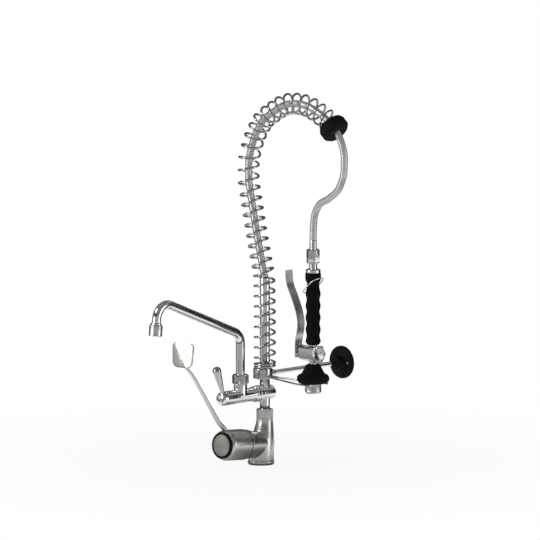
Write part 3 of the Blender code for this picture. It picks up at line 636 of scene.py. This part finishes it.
def cross_tap():
    """The tee on the riser, the union ring, the tap's casting and its knob with the lever."""
    line = [(0, 36), (13.2, 36, 0.6), (14.8, 34.7, 0.8), (14.8, 0.6, 0.3), (14.2, 0), (0, 0)]
    tee = lathe("tee_body", line, (0, -4.5, TAP_Z), WALL)
    tee = carved(tee, cut=[bar("tee_cut", RISER_BORE, (0, COLUMN_Y, TAP_Z - 30), 60),
                           bar("tee_way", 6, (0, -20, TAP_Z), 30, WALL)])
    piece(tee, "chrome", "root", "tap_tee")
    line = [(8, 0), (16.1, 0, 0.4), (17.6, 1.5, 0.8), (17.6, 8.5, 0.8), (16.1, 10, 0.4), (8, 10)]
    piece(lathe("union_ring", line, (0, -4.8, TAP_Z), USER), "chrome", "root", "union_nut")
    line = [
        (0, 68.3), (14.4, 68.3, 0.5), (14.4, 62, 0.2), (13.9, 61.6), (13.9, 60.8),
        (14.4, 60.4, 0.2), (14.4, 9, 0.8), (16.9, 7.2, 0.8), (16.9, 1.8, 0.8), (15.2, 0, 0.4),
        (0, 0),
    ]
    body = lathe("tap_casting", line, (0, -15.1, TAP_Z), USER)
    line = [(0, 0), (14.2, 0), (14.2, 26.3, 0.8), (0, 26.3)]
    boss = lathe("boss_part", line, (0, SPOUT_Y, TAP_Z))
    body = carved(body, add=[boss], cut=[bar("headwork_cut", 8, (0, -10, TAP_Z), 80, USER),
                                         bar("boss_way", 6, (0, SPOUT_Y, TAP_Z), 40)])
    piece(body, "chrome", "root", "tap_body")
    line = [
        (0, 41), (6.5, 41, 2), (11.5, 39.6, 3), (14.2, 36, 4), (15, 30, 3), (15, 0.6, 0.4),
        (14.4, 0), (3.4, 0), (3.4, 11.5), (0, 11.5),
    ]
    piece(lathe("tap_knob", line, (0, -83.7, TAP_Z), USER), "chrome", "tap_handle", "tap_hub")
    line = [(0, 0), (5, 0), (5, 0.8, 0.3), (4, 1.6, 0.5), (0, 1.6)]
    screw = lathe("knob_screw", line, (0, -125.0, TAP_Z), USER, 48)
    slot = block("slot_cut", (-5, -127.5, TAP_Z - 0.5), (5, -126, TAP_Z + 0.5))
    piece(carved(screw, cut=[slot]), "chrome", "tap_handle", "hub_screw")
    foot, top = Vector((0, -117.2, 166.8)), Vector((0, -136.2, 219.5))
    long = (top - foot).length
    line = [
        (0, long), (3.0, long - 0.1), (6.6, long - 1.8, 3), (9.0, long - 6, 5), (9.2, long - 10, 6),
        (8.0, long - 17, 12), (4.4, 0), (4.4, -4), (0, -4),
    ]
    drop = lathe("tap_lever_drop", line, foot, top - foot, 64)
    # the lever takes the darker copy of chrome, as painted shade
    piece(drop, "chrome", "tap_handle", "tap_lever", finish="shaded_chrome")


def spout():
    """The gland, the bent pipe, and the aerator in line with the pipe's end."""
    nut = hexagon("spout_gland", 17.8, 9.8, 19.7, (0, SPOUT_Y, SPOUT_NUT_Z), sides=10, chamfer=2.4)
    piece(nut, "chrome", "root", "spout_nut", finish="cast_chrome")
    corners = [(SPOUT_Y, SPOUT_NUT_Z + 2.1), (SPOUT_Y, 281, 26), (-311, 381, 30), (-316.5, 333.5)]
    bend = filleted(corners)
    route = []
    for a, b in zip(bend, bend[1:]):
        count = max(1, ceil((b - a).length / 12))
        route += [a.lerp(b, k / count) for k in range(count)]
    route.append(bend[-1])
    pipe = tube("spout_tube", [(0, p.x, p.y) for p in route], 9.5, 48)
    piece(pipe, "chrome", "spout", "spout_pipe")
    end, before = Vector((0, *bend[-1])), Vector((0, *bend[-2]))
    down = (end - before).normalized()
    line = [
        (11.2, 28), (13.2, 28, 0.4), (14.2, 27, 0.5), (14.2, 24.2), (14.2, 23.6), (14.2, 9.4),
        (14.2, 8.8), (14.2, 6, 0.4), (13, 4.6), (11.6, 4), (11.6, 0.8, 0.3), (10.6, 0, 0.3),
        (7.5, 0), (7.5, 8), (11.2, 8),
    ]
    seat = end + down * GAP
    shell = lathe("aerator_shell", line, seat, down, 144, ridged(36, 0.25, 14, (9, 24)))
    piece(shell, "chrome", "spout", "aerator_housing", finish="cast_chrome")
    line = [(2, 0), (10.9, 0, 0.5), (10.9, 8, 0.6), (9.4, 8), (9.4, 7), (2, 7)]
    screen = lathe("aerator_screen", line, seat + down * 18, down)
    piece(screen, "white_plastic", "spout", "aerator_insert")


# ---- wall bracket ----
def bracket():
    """The clamp on the riser, its screw, the rod to the wall and the wires that hold the gun."""
    middle = COLUMN_Y - 6            # the clamp's own axis, ahead of the pipe's
    clamp = lathe("clamp_part", [(0, 22), (20, 22, 1.4), (20, 0, 1.4), (0, 0)], (0, middle, 181))
    start = middle + 20 + GAP
    line = [(0, 0), (7.2, 0), (7.2, 16, 0.7), (0, 16)]
    socket = lathe("socket_part", line, (0, middle + 17, ROD_Z), WALL)
    clamp = carved(clamp, add=[socket], cut=[
        bar("rod_cut", ROD_BORE, (0, start, ROD_Z), 20, WALL),
        bar("pipe_cut", RISER_BORE, (0, COLUMN_Y, 170), 40),
        bar("screw_cut", 3.3, (0, COLUMN_Y, 189), 50, USER, 32),
        block("slit_cut", (-30, COLUMN_Y - 0.6, 180), (-5, COLUMN_Y + 0.6, 204)),
    ])
    clamp.name = "clamp_block"
    piece(clamp, "chrome", "root", "bracket_clamp", finish="cast_chrome")
    line = [(0, 0), (3, 0), (3, 15.6, 0.6), (0, 15.6)]
    screw = lathe("set_screw", line, (0, COLUMN_Y - 10.8, 189), USER, 48)
    key = lathe("key_cut", [(0, 0), (1.6, 0), (1.6, 6), (0, 6)], (0, COLUMN_Y - 23.5, 189), USER, 6)
    piece(carved(screw, cut=[key]), "steel", "root", "clamp_screw")
    long = 232 - start
    line = [(0, 0), (ROD_R, 0, 0.5), (ROD_R, long, 0.5), (0, long)]
    rod = lathe("bracket_rod", line, (0, start + GAP, ROD_Z), WALL, 64)
    piece(rod, "chrome", "root", "wall_rod")
    for side, name, start_x in ((-1, "front", 20.6), (1, "rear", 17.4)):
        route = [(start_x, COLUMN_Y + side * 6, 185.2), (60, COLUMN_Y + side * 13.5, 183.9),
                 (108, COLUMN_Y + side * 22.6, 182.7), (124, COLUMN_Y + side * 24.5, 182.7),
                 (161, COLUMN_Y + side * 24.5, 182.7)]
        line = through(route, 4)
        radii = [2.0] * (len(line) - 1) + [1.3]
        wire = tube("fork_" + name, line, radii, 20)
        # the wires take the darker copy of chrome, as painted shade
        piece(wire, "chrome", "root", "hook_wire_" + name, finish="shaded_chrome")


def rosette():
    line = [
        (0, 26), (13.2, 26, 0.8), (14.7, 24.5, 0.8), (15.2, 11, 1.8), (31, 7.5, 2.5),
        (34.5, 4, 1.5), (34.5, 0.5, 0.4), (34, 0), (0, 0),
    ]
    disc = lathe("wall_rosette", line, (0, ROSETTE_Y, ROD_Z), USER)
    cuts = [bar("rod_cut", ROD_BORE, (0, 218.5, ROD_Z), 14, WALL)]
    for x in (-20, 20):
        cuts.append(bar("screw_cut", 4.3, (x, ROSETTE_Y + 2, ROD_Z), 30, USER))
    piece(carved(disc, cut=cuts), "black_plastic", "root", "rosette")
    for side, x in (("left", -20), ("right", 20)):
        line = [(0, 8.2), (1.5, 8.1), (4.0, 6.4, 1.6), (4.0, 3, 0.3), (2, 0)]
        for k in range(7):
            line += [(2.0, -1 - 1.3 * k), (1.35, -1.65 - 1.3 * k)]
        line += [(0.9, -11), (0, -12)]
        screw = lathe("wall_screw_" + side, line, (x, ROSETTE_Y, ROD_Z), USER, 48)
        cross = [block("cross_cut", (x - 2.4, 236, 189.6), (x + 2.4, 240.2, 190.4)),
                 block("cross_cut", (x - 0.4, 236, 187.6), (x + 0.4, 240.2, 192.4))]
        piece(carved(screw, cut=cross), "steel", "root", "rosette_screw_" + side)


# ---- spray gun ----
GUN_X = 141.0
GRIP_LOW, GRIP_HIGH = 267.0, 418.7
VALVE_Z = 247.0
PIVOT = (103.2, 241.0)


def gun(z):
    return (GUN_X, COLUMN_Y, z)


def hose_end():
    line = [(0, 20), (6.6, 20, 0.5), (7.8, 18, 0.6)]
    for k in range(4):
        z = 15 - 3.4 * k
        line += [(7.8, z), (7.3, z - 0.5), (7.3, z - 0.9), (7.8, z - 1.4)]
    line += [(7.8, 0), (0, 0)]
    ferrule = lathe("crimped_ferrule", line, gun(469.1), steps=72)
    piece(ferrule, "chrome", "hose_end", "hose_ferrule", finish="cast_chrome")
    line = [
        (0, 0), (12.9, 0), (14.5, 1.2), (14.5, 2.6), (14.5, 3.4), (14.5, 12.6), (14.5, 13.4),
        (14.5, 27.4), (12.6, 28.8), (0, 28.8),
    ]
    knurled = ridged(48, 0.35, 12, (3, 13), polygon(6, 14.5))
    nut = lathe("swivel_nut", line, gun(440), UP, 192, knurled)
    piece(nut, "chrome", "hose_end", "hose_nut", finish="cast_chrome")


def grip_radius(z):
    """The grip's profile: a head at the top, a waist, waves for the fingers, a rolled end."""
    if z > GRIP_HIGH - 12:
        return 16.6
    if z > GRIP_HIGH - 24:
        t = (z - GRIP_HIGH + 24) / 12
        return 12.4 + 4.2 * t * t * (3 - 2 * t)
    if z < GRIP_LOW + 5:
        return 12.3 + 2.6 * sin(pi / 2 * (z - GRIP_LOW) / 5)
    wave = cos(2 * pi * (GRIP_HIGH - 44 - z) / 25.3)
    fade = min(1.0, (GRIP_HIGH - 24 - z) / 10)
    return 12.4 + (2.4 + 1.1 * wave) * fade


def grip():
    long, count = GRIP_HIGH - GRIP_LOW, 120
    heights = [GRIP_HIGH - 1 - (GRIP_HIGH - 1 - GRIP_LOW) * i / count for i in range(count + 1)]

    def ribbed(a, r, h):
        inside = 8 < h < long - 26 and r > 9
        return r - 0.35 * max(0.0, cos(24 * a)) ** 4 if inside else r

    line = [(8.8, long), (15.8, long)]
    line += [(grip_radius(z), z - GRIP_LOW) for z in heights] + [(8.8, 0)]
    sleeve = lathe("grip_sleeve", line, gun(GRIP_LOW), UP, 120, ribbed)
    piece(sleeve, "black_rubber", "gun", "grip")
    line = [(8.8, 8), (13.4, 8, 0.5), (15.6, 6.6, 0.8), (15.6, 1.2, 0.6), (14.4, 0, 0.4), (8.8, 0)]
    piece(lathe("collar_ring", line, gun(419)), "chrome", "gun", "grip_collar")
    foot = VALVE_Z + 17.3
    top = 439.7 - foot
    line = [(5, 0), (8.5, 0), (8.5, top), (5, top)]
    piece(lathe("inner_tube", line, gun(foot)), "steel", "gun", "gun_tube")


def valve():
    """The casting across the gun, with the trigger's lug, and the bonnet on its far end."""
    outline = [
        (10.5, -11, 1.4), (10.5, 11, 1.4), (0, 17, 1.6), (-10.5, 11, 1.4), (-10.5, -11, 1.4),
        (0, -17, 1.6),
    ]
    place = Matrix(((0, 0, 1, 130.5), (1, 0, 0, COLUMN_Y), (0, 1, 0, VALVE_Z), (0, 0, 0, 1)))
    body = extruded("valve_casting", outline, place, 46, 0.7)
    body = carved(body, add=[
        bar("outlet_part", 7.9, gun(186), 50),
        bar("lug_part", 3.3, (PIVOT[0], COLUMN_Y - 7.5, PIVOT[1]), 15, WALL, 48, 0.4),
        block("web_part", (PIVOT[0], COLUMN_Y - 7.3, PIVOT[1] - 3.2),
              (110, COLUMN_Y + 7.3, PIVOT[1] + 3.2)),
    ], cut=[
        bar("stem_cut", 2.6, (90, COLUMN_Y, 252), 30, GUN_SIDE, 32),
        bar("spring_cut", 6.8, (110, COLUMN_Y, 248), 60, GUN_SIDE),
        bar("way_cut", 5, gun(181), 90),
        bar("pin_cut", 1.9, (PIVOT[0], COLUMN_Y - 20, PIVOT[1]), 40, WALL, 32),
    ])
    piece(body, "brushed", "gun", "valve_body")
    line = [(0, 1.3), (3, 1.3, 1), (13.2, 5, 0.4), (18.4, 5)]
    line += [(18.4 + 1.9 * k / 5, 5 - 1.1 * k / 5) for k in range(1, 6)]
    line += [(20.3, 0.6), (19.7, 0), (6.4, 0), (6.4, -8), (0, -8)]
    bonnet = lathe("hex_bonnet", line, (153.8, COLUMN_Y, VALVE_Z), GUN_SIDE, 144, polygon(6, 20.3))
    piece(bonnet, "chrome", "gun", "valve_bonnet", finish="steel")


def trigger():
    """A grooved strip bent along its route, with two ears on the pin."""
    route = [(98.4, 236), (98.0, 259), (99.5, 274), (103.3, 289), (105.2, 304), (104.6, 317),
             (98.5, 338), (86, 365), (73.5, 390), (70, 418)]
    line = through(route, 3)
    half, thick = 10.4, 1.3
    upper = [
        (-half + 0.5, thick), (-7.6, thick), (-6.6, thick - 0.55), (-5.4, thick - 0.55),
        (-4.4, thick), (-1.6, thick), (-0.6, thick - 0.45), (0.6, thick - 0.45), (1.6, thick),
        (4.4, thick), (5.4, thick - 0.55), (6.6, thick - 0.55), (7.6, thick), (half - 0.5, thick),
    ]
    section = upper + [
        (half, thick - 0.5), (half, 0.5 - thick), (half - 0.5, -thick), (-half + 0.5, -thick),
        (-half, 0.5 - thick), (-half, thick - 0.5),
    ]
    rings = []
    for i, here in enumerate(line):
        ahead = (line[min(i + 1, len(line) - 1)] - line[max(i - 1, 0)]).normalized()
        out = Vector((-ahead.y, ahead.x))
        from_tip = min(1.0, (len(line) - 1 - i + 0.6) / 3.0)
        narrow = 1 - 0.22 * (1 - from_tip) ** 2
        rings.append([(here.x + out.x * t, COLUMN_Y + u * narrow, here.y + out.y * t)
                      for u, t in section])
    strip = skin("trigger_lever", rings)
    ears = []
    for side in (-1, 1):
        low, high = sorted((COLUMN_Y + side * 7.9, COLUMN_Y + side * 10.4))
        flat = [(98.3, 236, 0.4), (106, 236, 3), (106, 246, 3), (98.3, 246, 0.4)]
        place = Matrix(((1, 0, 0, 0), (0, 0, -1, (low + high) / 2), (0, 1, 0, 0), (0, 0, 0, 1)))
        ears.append(extruded("ear_part", flat, place, high - low, 0.3))
    pin_room = bar("pin_cut", 1.9, (PIVOT[0], COLUMN_Y - 20, PIVOT[1]), 40, WALL, 32)
    piece(carved(strip, add=ears, cut=[pin_room]), "brushed", "trigger", "trigger")
    line = [(0, 0), (1.5, 0, 0.4), (1.5, 21.8, 0.4), (0, 21.8)]
    pin = lathe("pivot_pin", line, (PIVOT[0], COLUMN_Y - 10.9, PIVOT[1]), WALL, 40)
    piece(pin, "steel", "gun", "trigger_pin")


def lock_ring():
    """A closed wire round the grip, hinged on the side away from the trigger."""
    high, low = Vector((159.6, 409.0)), Vector((122.5, 375))
    along, long = (low - high).normalized(), (low - high).length
    half, wire_r = 18.0, 1.15
    flat = filleted([(half, 0, 14), (half, long, 14), (-half, long, 14), (-half, 0, 14)])
    points = []
    for across, down in [p for a, b in zip(flat, flat[1:] + flat[:1]) for p in (a, a.lerp(b, 0.5))]:
        here = high + along * down
        points.append(Vector((here.x, COLUMN_Y + across, here.y)))
    rings, count = [], len(points)
    plane = Vector((along.x, 0, along.y)).cross(Vector((0, 1, 0)))
    for i, here in enumerate(points):
        ahead = (points[(i + 1) % count] - points[i - 1]).normalized()
        out = ahead.cross(plane)
        angles = [2 * pi * k / 16 for k in range(16)]
        rings.append([here + (out * cos(a) + plane * sin(a)) * wire_r for a in angles])
    piece(skin("lock_link", rings, True), "chrome", "lock_ring", "lock_ring")


def nozzle():
    line = [
        (12.5, 40.4), (15, 38.5, 1), (19.6, 29.6, 3), (25.5, 19, 1.2), (30.5, 18, 1.5),
        (34, 14, 1.6), (34, 6, 1.6), (31, 1.6, 1.4), (27, 0, 0.8), (8.2, 0), (8.2, 40.4),
    ]
    guard = lathe("splash_guard", line, gun(185), UP, 140, ridged(14, 0.7, 28))
    piece(guard, "black_rubber", "gun", "bumper")
    line = [
        (5, 20.7), (17.25, 20.7, 0.3), (17.25, 18.6), (17.25, 18), (17.25, 4.6), (17.25, 4),
        (17.25, 2.4, 0.6), (15.6, 0, 0.5), (14.2, 0), (14.2, 16), (5, 16),
    ]
    cup = lathe("nozzle_cup", line, gun(164), UP, 240, ridged(60, 0.3, 17, (4.3, 18.3)))
    piece(cup, "brushed", "gun", "spray_nozzle", finish="steel")
    holes = []
    for i in range(8):
        a = 2 * pi * (i + 0.3) / 8
        at = (GUN_X + 8.5 * cos(a), COLUMN_Y + 8.5 * sin(a), 160)
        holes.append(bar("jet_cut", 1.3, at, 12, UP, 24))
    face = bar("rose_plate", 13.9, gun(166), 4, UP, 96, 0.5)
    piece(carved(face, cut=holes), "white_plastic", "gun", "spray_face")


for build in (hose, spring, end_cap, mixer_body, deck_fixing, mixer_handle, elbow_lever, riser,
              cross_tap, spout, bracket, rosette, hose_end, grip, valve, trigger, lock_ring,
              nozzle):
    build()

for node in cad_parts.values():   # the inner pieces keep their CAD shape
    for slot in node.material_slots:
        kind = slot.material.name.split(".")[0] if slot.material else None
        if kind in FINISHES:
            slot.material = FINISHES[kind]


# ---- floor, light and camera ----
FLOOR_RADII, FLOOR_SIDES = (10, 300, 500, 700, 900, 1100), 128
# brightness at each share of a full turn from -X, through -Y (0.25), +X (0.5) and +Y (0.75)
PANELS = (
    (0.0, 0.02), (0.035, 0.06), (0.07, 0.45), (0.11, 0.50), (0.17, 0.38), (0.28, 0.36),
    (0.42, 0.38), (0.50, 0.42), (0.535, 0.6), (0.55, 2.2), (0.60, 2.2), (0.615, 0.2), (0.64, 0.01),
    (0.77, 0.01), (0.81, 0.05), (0.85, 0.05), (0.89, 0.01), (0.96, 0.01), (1.0, 0.02),
)
# both of these run from straight down (0) over level (0.5) to straight up (1), by the height's sine
SKY_SHARE = ((0.0, 1.0), (0.25, 1.0), (0.32, 0.0), (0.62, 0.0), (0.67, 1.0), (1.0, 1.0))
SKY = (
    (0.0, 1.2), (0.30, 1.2), (0.335, 0.04), (0.60, 0.03), (0.70, 0.05), (0.80, 0.35), (0.90, 0.10),
    (1.0, 0.25),
)


def floor():
    """A disc that the camera sees as near white, and that the metal mirrors as a bright ring."""
    rings = [[(r * cos(2 * pi * i / FLOOR_SIDES), r * sin(2 * pi * i / FLOOR_SIDES) + COLUMN_Y)
              for i in range(FLOOR_SIDES)] for r in FLOOR_RADII]
    work = bmesh.new()
    rows = [[work.verts.new((x * MM, y * MM, 0)) for x, y in ring] for ring in rings]
    for a, b in zip(rows, rows[1:]):
        for i in range(len(a)):
            work.faces.new((a[i], a[(i + 1) % len(a)], b[(i + 1) % len(b)], b[i]))
    work.faces.new(rows[0])
    mesh = bpy.data.meshes.new("floor")
    work.to_mesh(mesh)
    work.free()
    made = object_of("floor", mesh)
    f = Finish("floor", (0.92, 0.92, 0.92), 0.0, 0.9)
    length = f.nodes.new("ShaderNodeVectorMath")
    length.operation = "LENGTH"
    f.links.new(f.place, length.inputs[0])
    metres_out = length.outputs["Value"]
    rim = f.range(metres_out, 0.92, 1.0, 0.05, 0.95)
    seen = f.nodes.new("ShaderNodeLightPath").outputs["Is Camera Ray"]
    near = f.math("MINIMUM", f.range(metres_out, 0.12, 0.9, 0.05, 0.24),
                  f.range(metres_out, 0.9, 0.03, 0.5, 0.8))
    glow = f.nodes.new("ShaderNodeEmission")
    f.links.new(f.math("MAXIMUM", seen, near), glow.inputs["Strength"])
    mixed = f.nodes.new("ShaderNodeMixShader")
    # the camera sees paint with this much glow in it, and every other ray sees the glow alone
    share = f.math("MAXIMUM", f.math("MULTIPLY", rim, seen), f.math("SUBTRACT", 1, seen))
    f.links.new(share, mixed.inputs[0])
    f.links.new(f.shader.outputs[0], mixed.inputs[1])
    f.links.new(glow.outputs[0], mixed.inputs[2])
    f.links.new(mixed.outputs[0], f.nodes["Material Output"].inputs["Surface"])
    made.data.materials.append(f.made)


def fill(ramp, stops):
    ramp.elements[0].position, ramp.elements[1].position = stops[0][0], stops[-1][0]
    ramp.elements[0].color = (*[stops[0][1]] * 3, 1)
    ramp.elements[1].color = (*[stops[-1][1]] * 3, 1)
    for position, value in stops[1:-1]:
        ramp.elements.new(position).color = (value, value, value, 1)


def studio():
    """A white room for the eye, with dark and bright panels round it for the metal to mirror."""
    world = bpy.data.worlds.new("studio")
    bpy.context.scene.world = world
    world.use_nodes = True
    nodes, links = world.node_tree.nodes, world.node_tree.links
    nodes.clear()

    def shades(stops, value):
        node = nodes.new("ShaderNodeValToRGB")
        fill(node.color_ramp, stops)
        links.new(value, node.inputs["Fac"])
        return node.outputs["Color"]

    way = nodes.new("ShaderNodeTexCoord")
    split = nodes.new("ShaderNodeSeparateXYZ")
    links.new(way.outputs["Generated"], split.inputs[0])
    heading = nodes.new("ShaderNodeMath")
    heading.operation = "ARCTAN2"
    links.new(split.outputs["Y"], heading.inputs[0])
    links.new(split.outputs["X"], heading.inputs[1])
    turned = nodes.new("ShaderNodeMapRange")
    turned.inputs["From Min"].default_value, turned.inputs["From Max"].default_value = -pi, pi
    links.new(heading.outputs[0], turned.inputs["Value"])
    raised = nodes.new("ShaderNodeMapRange")
    raised.inputs["From Min"].default_value = -1
    links.new(split.outputs["Z"], raised.inputs["Value"])
    mix = nodes.new("ShaderNodeMix")
    mix.data_type = "RGBA"
    links.new(shades(SKY_SHARE, raised.outputs["Result"]), mix.inputs["Factor"])
    links.new(shades(PANELS, turned.outputs["Result"]), mix.inputs["A"])
    links.new(shades(SKY, raised.outputs["Result"]), mix.inputs["B"])
    mirrored, seen = nodes.new("ShaderNodeBackground"), nodes.new("ShaderNodeBackground")
    links.new(mix.outputs["Result"], mirrored.inputs["Color"])
    seen.inputs["Color"].default_value = (1, 1, 1, 1)
    path, either = nodes.new("ShaderNodeLightPath"), nodes.new("ShaderNodeMixShader")
    links.new(path.outputs["Is Camera Ray"], either.inputs[0])
    links.new(mirrored.outputs[0], either.inputs[1])
    links.new(seen.outputs[0], either.inputs[2])
    out = nodes.new("ShaderNodeOutputWorld")
    links.new(either.outputs[0], out.inputs["Surface"])


def light(name, at, size, power, mirrored=True):
    """A round lamp that faces the object's middle. Lengths are in metres here and in camera()."""
    data = bpy.data.lights.new(name, "AREA")
    data.shape, data.size, data.energy = "DISK", size, power
    lamp = bpy.data.objects.new(name, data)
    lamp.location = at
    lamp.rotation_euler = (Vector((0, 0, 0.35)) - Vector(at)).to_track_quat("-Z", "Y").to_euler()
    lamp.visible_camera, lamp.visible_glossy = False, mirrored
    bpy.context.scene.collection.objects.link(lamp)


def camera():
    azimuth, elevation, view_width = radians(44), radians(8.5), 1.134
    aim_at = Vector((0.0078, 0.0191, 0.4104))
    back = Vector((sin(azimuth) * cos(elevation), -cos(azimuth) * cos(elevation), sin(elevation)))
    data = bpy.data.cameras.new("camera")
    data.type, data.ortho_scale = "ORTHO", view_width
    made = bpy.data.objects.new("camera", data)
    made.location = aim_at + back * 3
    made.rotation_euler = (-back).to_track_quat("-Z", "Y").to_euler()
    bpy.context.scene.collection.objects.link(made)
    bpy.context.scene.camera = made


floor()
studio()
light("key", (-0.9, -1.6, 1.9), 0.9, 16)
light("fill", (1.9, -0.6, 1.2), 0.8, 5, False)
light("rim", (0.2, 1.8, 1.8), 0.8, 6, False)
light("low", (-0.51, -1.65, 0.45), 0.6, 5)
camera()
bpy.context.scene.view_settings.view_transform = "Standard"
